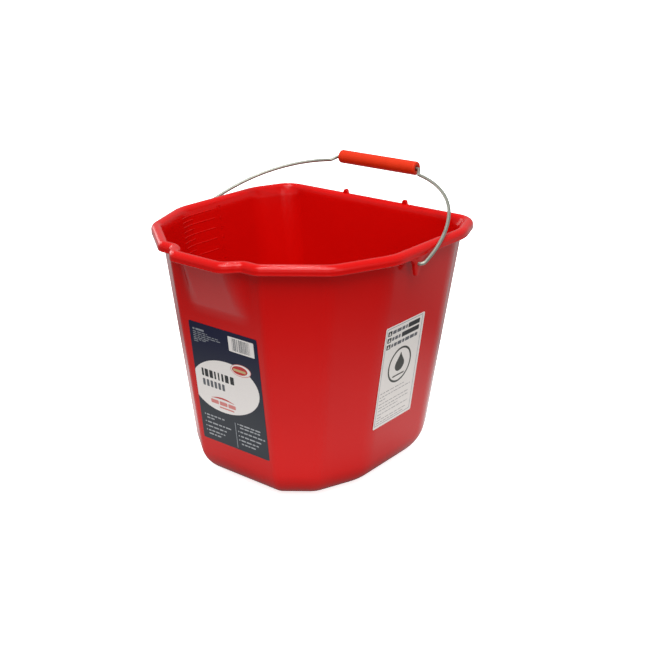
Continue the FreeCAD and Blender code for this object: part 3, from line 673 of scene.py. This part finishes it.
printed("front_print_badge_red", on_front, [oval(21.0, 158.4, 11.3, 5.3, math.radians(4))], 3, red_ink)
printed("front_print_badge_bar", on_front, [bar(11.5, 29.5, 156.4, 159.2)], 4, gold_ink)
WAVE_STEPS = 30
WAVE_LEFT = -29.0
WAVE_WIDE = 37.0
WAVE_UP = 112.0
WAVE_HIGH = 3.6
WAVE_LOW = 1.4
wave = []
for step in range(WAVE_STEPS + 1):
    wave.append((WAVE_LEFT + WAVE_WIDE * step / WAVE_STEPS,
                 WAVE_UP + WAVE_HIGH * math.sin(math.pi * step / WAVE_STEPS)))
for step in range(WAVE_STEPS + 1):
    wave.append((WAVE_LEFT + WAVE_WIDE - WAVE_WIDE * step / WAVE_STEPS,
                 WAVE_UP + WAVE_LOW * math.sin(math.pi * (1 - step / WAVE_STEPS))))
printed("front_print_wave", on_front, [wave], 1, red_ink)
red_bars = [bar(-29.0, -17.5, 105.6, 110.4), bar(-16.0, -4.5, 105.6, 110.4), bar(-3.0, 8.0, 105.6, 110.4),
            bar(-17.0, 5.0, 101.8, 103.6)]
printed("front_print_red_bars", on_front, red_bars, 1, pale_red_ink)

# ---------------------------------------------------------------------------
# Side label: white printed film with a thin border, heading bars, a ring with a plain drop in it
# and rows of small print shown as bars.
# ---------------------------------------------------------------------------
SIDE_SLOPE = DRAFT
HEADING_LEVELS = (195.5, 187.5, 179.4)
RING_ALONG = 5.0
RING_UP = 150.0
RING_RADII = (19.4, 21.8)
DROP_STEPS = 64
DROP_RADIUS = 9.5
DROP_RISE = 1.5
DROP_POINT = 4.5
DROP_WAIST = 0.85


def on_side(along, up, out):
    """Point on the right wall in metres: along, up its slope, and out from its face."""
    x = BASE_PLAN["side"] + up * math.sin(SIDE_SLOPE) + out * math.cos(SIDE_SLOPE)
    z = up * math.cos(SIDE_SLOPE) - out * math.sin(SIDE_SLOPE)
    return (x / 1000, along / 1000, z / 1000)


# White film: an off-white ground, faintly clouded along the ripples.
white_film, white_shader, _, white_ripple = film("printed_white_film")
white_tone = node(white_film, "ShaderNodeMix", {"Factor": white_ripple.outputs["Fac"], "A": colour("#E6DFDA"),
                                                "B": colour("#EEE8E3")}, data_type="RGBA")
feed(white_film, white_tone.outputs["Result"], white_shader, "Base Color")
for material_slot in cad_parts["side_label"].material_slots:
    material_slot.material = white_film

border = []
for left, right, low, high in ((-28.0, 38.4, 201.2, 201.9), (-28.0, 38.4, 81.6, 82.3),
                               (-28.6, -27.8, 81.6, 201.9), (38.2, 39.0, 81.6, 201.9)):
    border.append(bar(left, right, low, high))
printed("side_print_border", on_side, border, 0, grey_ink)
heading = [bar(12.0, 34.0, 192.6, 198.4), bar(1.0, 34.0, 184.6, 190.4)]
for up in HEADING_LEVELS:
    heading.append(bar(-26.0, -18.6, up - 2.9, up + 2.9))
printed("side_print_heading", on_side, heading, 0, black_ink)
heading_marks = []
for up in HEADING_LEVELS:
    heading_marks.append([(-22.3, up + 2.1), (-24.2, up - 1.9), (-20.4, up - 1.9)])
printed("side_print_heading_marks", on_side, heading_marks, 1, white_ink)
heading_words = words(small_print, -17.2, 10.5, 195.5, 4.2)
heading_words += words(small_print, -17.2, -0.5, 187.5, 4.2)
heading_words += words(small_print, -17.2, 34.0, 179.4, 4.2)
printed("side_print_heading_words", on_side, heading_words, 0, slate_ink)
ring_points = []
ring_faces = []
for step in range(OVAL_STEPS):
    turn = 2 * math.pi * step / OVAL_STEPS
    for radius in RING_RADII:
        ring_points.append(on_side(RING_ALONG + radius * math.cos(turn), RING_UP + radius * math.sin(turn),
                                   LABEL_FACE + INK_LIFT))
    after = (step + 1) % OVAL_STEPS
    ring_faces.append((2 * step, 2 * step + 1, 2 * after + 1, 2 * after))
olive_ink = ink("screen_printed_dark_olive", "#2B2C24")
ring = new_piece("side_print_ring", ring_points, ring_faces, olive_ink, smooth=False)
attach(ring, "bucket")
drop = []
for step in range(DROP_STEPS):
    turn = 2 * math.pi * step / DROP_STEPS
    narrow = math.cos((turn - math.pi / 2) / 2) ** 2
    drop.append((RING_ALONG + DROP_RADIUS * math.cos(turn) * (1 - DROP_WAIST * narrow ** 3),
                 RING_UP + DROP_RISE + (DROP_RADIUS + DROP_POINT * narrow ** 4) * math.sin(turn)))
printed("side_print_drop", on_side, [drop], 0, olive_ink)
printed("side_print_waterline", on_side, [bar(-6.0, 16.0, 136.2, 138.0)], 0, olive_ink)
side_rows = []
for up, right in ((122.0, 20.0), (117.4, 33.0), (113.4, -14.0), (108.6, 33.0), (104.2, 33.0),
                  (100.4, 12.0), (95.4, 33.0), (91.6, -16.0), (88.2, 30.0), (84.8, 26.0)):
    side_rows += words(small_print, -25.5, right, up, 1.0)
printed("side_print_small", on_side, side_rows, 0, ink("screen_printed_thin_grey", "#A39E9C"))

# ---------------------------------------------------------------------------
# Bail: 3.8 mm steel wire, drawn, zinc plated and bent cold: straight through the grip, a kink
# each side of it, one long bow down each leg, and the ends turned in to sit in the ears.
# ---------------------------------------------------------------------------
WIRE_RADIUS = 1.9
GRIP_HEIGHT = 159.0
LEAN = math.radians(67.81)
PIVOT = Vector((0.0, EAR_Y, PIVOT_LEVEL))
LEG_X = 165.2
LEG_RADIUS = 170.0
LEG_SWEEP = math.radians(27)
EAR_BEND = 5.0
BOW_RADIUS = 128.0
KINK_BEND = 3.5
SEAT_END = 56.8
KINK_FOOT = 66.3
GRIP_STATION = 30.0
END_STATIONS = (155.0, 152.6, 152.1)
END_CHAMFER = 0.5
KINK_STEPS = 8
BOW_STEPS = 48
LEG_STEPS = 32
EAR_STEPS = 10
WIRE_SIDES = 20


def leaning(across, up):
    """Point of the bail's own plane, where the bail rests leaning back."""
    return (PIVOT + Vector((across, up * math.sin(LEAN), up * math.cos(LEAN)))) / 1000


def arc(centre, radius, first, last, steps):
    """Points round an arc in the bail's own plane."""
    found = []
    for step in range(steps + 1):
        turn = first + (last - first) * step / steps
        found.append((centre[0] + radius * math.cos(turn), centre[1] + radius * math.sin(turn)))
    return found


shoulder = (LEG_X - LEG_RADIUS * (1 - math.cos(LEG_SWEEP)),
            EAR_BEND + LEG_RADIUS * math.sin(LEG_SWEEP))
bow_middle = (shoulder[0] - BOW_RADIUS * math.cos(LEG_SWEEP),
              shoulder[1] - BOW_RADIUS * math.sin(LEG_SWEEP))
bow_end = math.acos((KINK_FOOT - bow_middle[0]) / BOW_RADIUS)
kink_foot = (KINK_FOOT, bow_middle[1] + BOW_RADIUS * math.sin(bow_end))
fall = math.atan2(GRIP_HEIGHT - kink_foot[1], KINK_FOOT - SEAT_END)
kink_low = (bow_middle[0] + (BOW_RADIUS + KINK_BEND) * math.cos(bow_end),
            bow_middle[1] + (BOW_RADIUS + KINK_BEND) * math.sin(bow_end))
wire_line = [(0.0, GRIP_HEIGHT), (GRIP_STATION, GRIP_HEIGHT)]
wire_line += arc((SEAT_END, GRIP_HEIGHT - KINK_BEND), KINK_BEND, math.pi / 2, math.pi / 2 - fall, KINK_STEPS)
wire_line += arc(kink_low, KINK_BEND, 1.5 * math.pi - fall, math.pi + bow_end, KINK_STEPS)
wire_line += arc(bow_middle, BOW_RADIUS, bow_end, LEG_SWEEP, BOW_STEPS)[1:]
wire_line += arc((LEG_X - LEG_RADIUS, EAR_BEND), LEG_RADIUS, LEG_SWEEP, 0.0, LEG_STEPS)[1:]
wire_line += arc((LEG_X - EAR_BEND, EAR_BEND), EAR_BEND, 0.0, -math.pi / 2, EAR_STEPS)[1:]
wire_line += [(across, 0.0) for across in END_STATIONS]
wire_line = [(-across, up) for across, up in wire_line[:0:-1]] + wire_line
wire_points = []
plane_normal = Vector((0.0, -math.cos(LEAN), math.sin(LEAN)))
for index, (across, up) in enumerate(wire_line):
    before = wire_line[max(0, index - 1)]
    after = wire_line[min(len(wire_line) - 1, index + 1)]
    heading = (leaning(*after) - leaning(*before)).normalized()
    sideways = heading.cross(plane_normal)
    radius = WIRE_RADIUS - (END_CHAMFER if index in (0, len(wire_line) - 1) else 0.0)
    for side in range(WIRE_SIDES):
        turn = 2 * math.pi * side / WIRE_SIDES
        spoke = plane_normal * math.cos(turn) + sideways * math.sin(turn)
        wire_points.append(leaning(across, up) + spoke * radius / 1000)
last_point = len(wire_points) - 1
wire_faces = [tuple(range(WIRE_SIDES)), tuple(range(last_point, last_point - WIRE_SIDES, -1))]
for ring_index in range(len(wire_line) - 1):
    for side in range(WIRE_SIDES):
        after = (side + 1) % WIRE_SIDES
        low = ring_index * WIRE_SIDES
        high = low + WIRE_SIDES
        wire_faces.append((low + side, high + side, high + after, low + after))

# Zinc-plated drawn wire: a soft grey metal, bright where the plating is smooth, clouded in
# patches some 8 mm long where it is dull, with a grain finer than a millimetre.
zinc, zinc_shader = new_material("zinc_plated_drawn_wire")
zinc_shader.inputs["Metallic"].default_value = 1.0
zinc_place = node(zinc, "ShaderNodeTexCoord").outputs["Object"]
cloud = node(zinc, "ShaderNodeTexNoise", {"Vector": zinc_place, "Scale": 120.0, "Detail": 4.0})
zinc_tone = node(zinc, "ShaderNodeMix", {"Factor": cloud.outputs["Fac"], "A": colour("#92948A"),
                                         "B": colour("#B0B3A8")}, data_type="RGBA")
feed(zinc, zinc_tone.outputs["Result"], zinc_shader, "Base Color")
zinc_dull = node(zinc, "ShaderNodeMapRange", {"Value": cloud.outputs["Fac"], "To Min": 0.6,
                                              "To Max": 0.48})
feed(zinc, zinc_dull.outputs["Result"], zinc_shader, "Roughness")
grain = node(zinc, "ShaderNodeTexNoise", {"Vector": zinc_place, "Scale": 1500.0, "Detail": 2.0})
zinc_relief = node(zinc, "ShaderNodeBump", {"Height": grain.outputs["Fac"], "Distance": 0.00003,
                                            "Strength": 0.4})
feed(zinc, zinc_relief.outputs["Normal"], zinc_shader, "Normal")
wire = new_piece("bail_wire_bent", wire_points, wire_faces, zinc)
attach(wire, "bail")
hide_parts("bail_wire")

# ---------------------------------------------------------------------------
# Grip: a moulded polyethylene tube, 112 mm long, that turns freely on the wire. Its ends are
# rounded outside and opened out a little where the wire comes through.
# ---------------------------------------------------------------------------
GRIP_HALF = 56.0
GRIP_RADIUS = 8.1
GRIP_ROUND = 2.0
GRIP_BORE = 2.2
GRIP_MOUTH = ((0.0, 4.6), (0.1, 3.9), (0.5, 3.5), (6.0, 3.1), (7.0, GRIP_BORE))
GRIP_ROUND_STEPS = 6
GRIP_SIDES = 64
profile = [(0.0, GRIP_RADIUS)]
for along in (20.0, 40.0, GRIP_HALF - GRIP_ROUND - 3.0):
    profile.append((along, GRIP_RADIUS))
for step in range(GRIP_ROUND_STEPS + 1):
    turn = math.pi / 2 * step / GRIP_ROUND_STEPS
    profile.append((GRIP_HALF - GRIP_ROUND + GRIP_ROUND * math.sin(turn),
                    GRIP_RADIUS - GRIP_ROUND + GRIP_ROUND * math.cos(turn)))
profile += [(GRIP_HALF - inward, radius) for inward, radius in GRIP_MOUTH]
profile.append((0.0, GRIP_BORE))
profile = [(-along, radius) for along, radius in profile[:0:-1]] + profile
grip_centre = leaning(0.0, GRIP_HEIGHT)
grip_points = []
for along, radius in profile:
    for side in range(GRIP_SIDES):
        turn = 2 * math.pi * side / GRIP_SIDES
        spoke = Vector((along, radius * math.cos(turn), radius * math.sin(turn)))
        grip_points.append(grip_centre + spoke / 1000)
grip_faces = []
for ring_index in range(len(profile)):
    for side in range(GRIP_SIDES):
        after = (side + 1) % GRIP_SIDES
        low = ring_index * GRIP_SIDES
        high = (ring_index + 1) % len(profile) * GRIP_SIDES
        grip_faces.append((low + side, low + after, high + after, high + side))

# Moulded polyethylene: an orange-red with a low waxy sheen, in cloudy streaks some 17 mm long,
# and a skin a little rougher than the wall's.
orange, orange_shader = new_material("moulded_orange_polyethylene")
orange_shader.inputs["IOR"].default_value = 1.51
orange_shader.inputs["Specular IOR Level"].default_value = 0.14
orange_place = node(orange, "ShaderNodeTexCoord").outputs["Object"]
orange_flow = node(orange, "ShaderNodeTexNoise", {"Vector": orange_place, "Scale": 60.0, "Detail": 3.0})
orange_tone = node(orange, "ShaderNodeMix", {"Factor": orange_flow.outputs["Fac"], "A": colour("#CE2C0E"),
                                             "B": colour("#D63410")}, data_type="RGBA")
feed(orange, orange_tone.outputs["Result"], orange_shader, "Base Color")
orange_dull = node(orange, "ShaderNodeMapRange", {"Value": orange_flow.outputs["Fac"], "To Min": 0.38,
                                                  "To Max": 0.5})
feed(orange, orange_dull.outputs["Result"], orange_shader, "Roughness")
orange_peel = node(orange, "ShaderNodeTexNoise", {"Vector": orange_place, "Scale": 700.0, "Detail": 2.0})
orange_relief = node(orange, "ShaderNodeBump", {"Height": orange_peel.outputs["Fac"], "Distance": 0.00003,
                                                "Strength": 0.5})
feed(orange, orange_relief.outputs["Normal"], orange_shader, "Normal")
grip = new_piece("grip_tube", grip_points, grip_faces, orange)
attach(grip, "grip")
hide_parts("grip")

# ---------------------------------------------------------------------------
# Studio: a pale painted floor, a card under it that throws light back up at the walls, soft boxes
# at the sides, two small ceiling lamps and a broad soft light from above.
# ---------------------------------------------------------------------------
FLOOR_HALF = 20.0
CARD_HALF = 4.0
CARD_LEVEL = -0.001


def square(half, level):
    """Corners of a level square about the middle, in metres."""
    return [(-half, -half, level), (half, -half, level), (half, half, level), (-half, half, level)]


# Matt paint: near white and faintly mottled. It glows evenly, so that only a faint shadow of the
# bucket's foot is left on it.
pale_paint, pale_shader = new_material("matt_painted_floor")
pale_shader.inputs["Roughness"].default_value = 0.9
pale_shader.inputs["Specular IOR Level"].default_value = 0.1
pale_shader.inputs["Emission Color"].default_value = (1.0, 1.0, 1.0, 1.0)
pale_shader.inputs["Emission Strength"].default_value = 0.8
pale_place = node(pale_paint, "ShaderNodeTexCoord").outputs["Object"]
pale_mottle = node(pale_paint, "ShaderNodeTexNoise", {"Vector": pale_place, "Scale": 3.0, "Detail": 4.0})
pale_tone = node(pale_paint, "ShaderNodeMix", {"Factor": pale_mottle.outputs["Fac"], "A": colour("#F4F4F3"),
                                               "B": colour("#F7F7F6")}, data_type="RGBA")
feed(pale_paint, pale_tone.outputs["Result"], pale_shader, "Base Color")
floor = new_piece("floor", square(FLOOR_HALF, 0.0), [(0, 1, 2, 3)], pale_paint, smooth=False)
floor.visible_glossy = False
floor.visible_diffuse = False

# Bounce card: brightest round the foot of the bucket, dim right under it as a painted shadow of the bucket's
# foot, fading further out and coming up again behind it, so that the walls are lit from below as over a white
# sweep.
card_paint = bpy.data.materials.new("bounce_card")
card_paint.use_nodes = True
card_paint.node_tree.nodes.clear()
card_place = node(card_paint, "ShaderNodeTexCoord").outputs["Object"]
card_reach = node(card_paint, "ShaderNodeVectorMath", {0: card_place}, operation="LENGTH")
card_fade = node(card_paint, "ShaderNodeMapRange", {"Value": card_reach.outputs["Value"], "From Min": 0.22,
                                                    "From Max": 0.55, "To Min": 0.95, "To Max": 0.2},
                 interpolation_type="SMOOTHSTEP")
# Painted shadow: the card's glow is turned down from 0.2 m to 0.1 m from the middle, where the bucket's foot
# would shade the floor.
card_painted_shadow = node(card_paint, "ShaderNodeMapRange", {"Value": card_reach.outputs["Value"], "From Min": 0.1,
                                                     "From Max": 0.2, "To Min": 0.2, "To Max": 1.0},
                  interpolation_type="SMOOTHSTEP")
card_back = node(card_paint, "ShaderNodeVectorMath", {0: card_place, 1: (-0.3, 1.0, 0.0)},
                 operation="DOT_PRODUCT")
card_behind = node(card_paint, "ShaderNodeMapRange", {"Value": card_back.outputs["Value"], "From Min": 0.15,
                                                      "From Max": 0.5, "To Min": 0.2, "To Max": 0.5},
                   interpolation_type="SMOOTHSTEP")
card_full = node(card_paint, "ShaderNodeMath", {0: card_fade.outputs["Result"],
                                                1: card_behind.outputs["Result"]}, operation="MAXIMUM")
card_level = node(card_paint, "ShaderNodeMath", {0: card_full.outputs["Value"],
                                                 1: card_painted_shadow.outputs["Result"]}, operation="MULTIPLY")
card_glow = node(card_paint, "ShaderNodeEmission", {"Strength": card_level.outputs["Value"]})
node(card_paint, "ShaderNodeOutputMaterial", {"Surface": card_glow.outputs["Emission"]})
card = new_piece("bounce_card", square(CARD_HALF, CARD_LEVEL), [(0, 1, 2, 3)], card_paint, smooth=False)
card.visible_camera = False

bpy.context.scene.view_settings.view_transform = "Standard"
surroundings = bpy.data.worlds.new("studio")
bpy.context.scene.world = surroundings
surroundings.use_nodes = True
surroundings.node_tree.nodes["Background"].inputs["Color"].default_value = (1.0, 1.0, 1.0, 1.0)
surroundings.node_tree.nodes["Background"].inputs["Strength"].default_value = 0.42


def aimed(name, data, stand, target):
    """Light standing at a point and facing another."""
    light = bpy.data.objects.new(name, data)
    light.location = stand
    light.rotation_euler = (Vector(target) - Vector(stand)).to_track_quat("-Z", "Y").to_euler()
    bpy.context.scene.collection.objects.link(light)


def soft_box(name, stand, target, wide, brightness):
    """Square soft light; its power follows from how bright its face is."""
    data = bpy.data.lights.new(name, "AREA")
    data.shape = "RECTANGLE"
    data.size = wide
    data.size_y = wide
    data.energy = brightness * math.pi * wide * wide
    aimed(name, data, stand, target)


# Each soft box: its name, where it stands and faces, the side of its square and its brightness.
SOFT_BOXES = (("left_soft_box", (-2.0, 0.1, 0.9), (0.0, 0.0, 0.2), 1.2, 2.2),
              ("right_soft_box", (2.2, -0.5, 0.9), (0.0, 0.0, 0.2), 1.2, 1.2),
              ("front_fill", (1.5, -2.1, 0.35), (0.0, 0.0, 0.15), 1.6, 0.7),
              ("ceiling_lamp_near", (0.25, -0.5, 2.1), (0.0, 0.0, 0.3), 0.12, 95.0),
              ("ceiling_lamp_far", (-0.55, 0.5, 2.1), (0.0, 0.0, 0.3), 0.12, 95.0))
sky = bpy.data.lights.new("overhead", "SUN")
sky.angle = math.radians(50)
sky.energy = 2.6
aimed("overhead", sky, (0.62, -0.85, 1.85), (0.0, 0.0, 0.0))
for soft_light in SOFT_BOXES:
    soft_box(*soft_light)

camera_data = bpy.data.cameras.new("camera")
camera_data.sensor_width = 36.0
camera_data.lens = 60.70
camera_data.shift_x = -0.01465
camera_data.shift_y = 0.0061
camera_data.clip_end = 100.0
camera = bpy.data.objects.new("camera", camera_data)
bpy.context.scene.collection.objects.link(camera)
camera_axes = Matrix(((0.7861, -0.2211, 0.5773), (0.6182, 0.2791, -0.7348), (0.0013, 0.9345, 0.3560)))
camera.matrix_world = Matrix.Translation((0.7583, -0.9120, 0.6145)) @ camera_axes.to_4x4()
bpy.context.scene.camera = camera
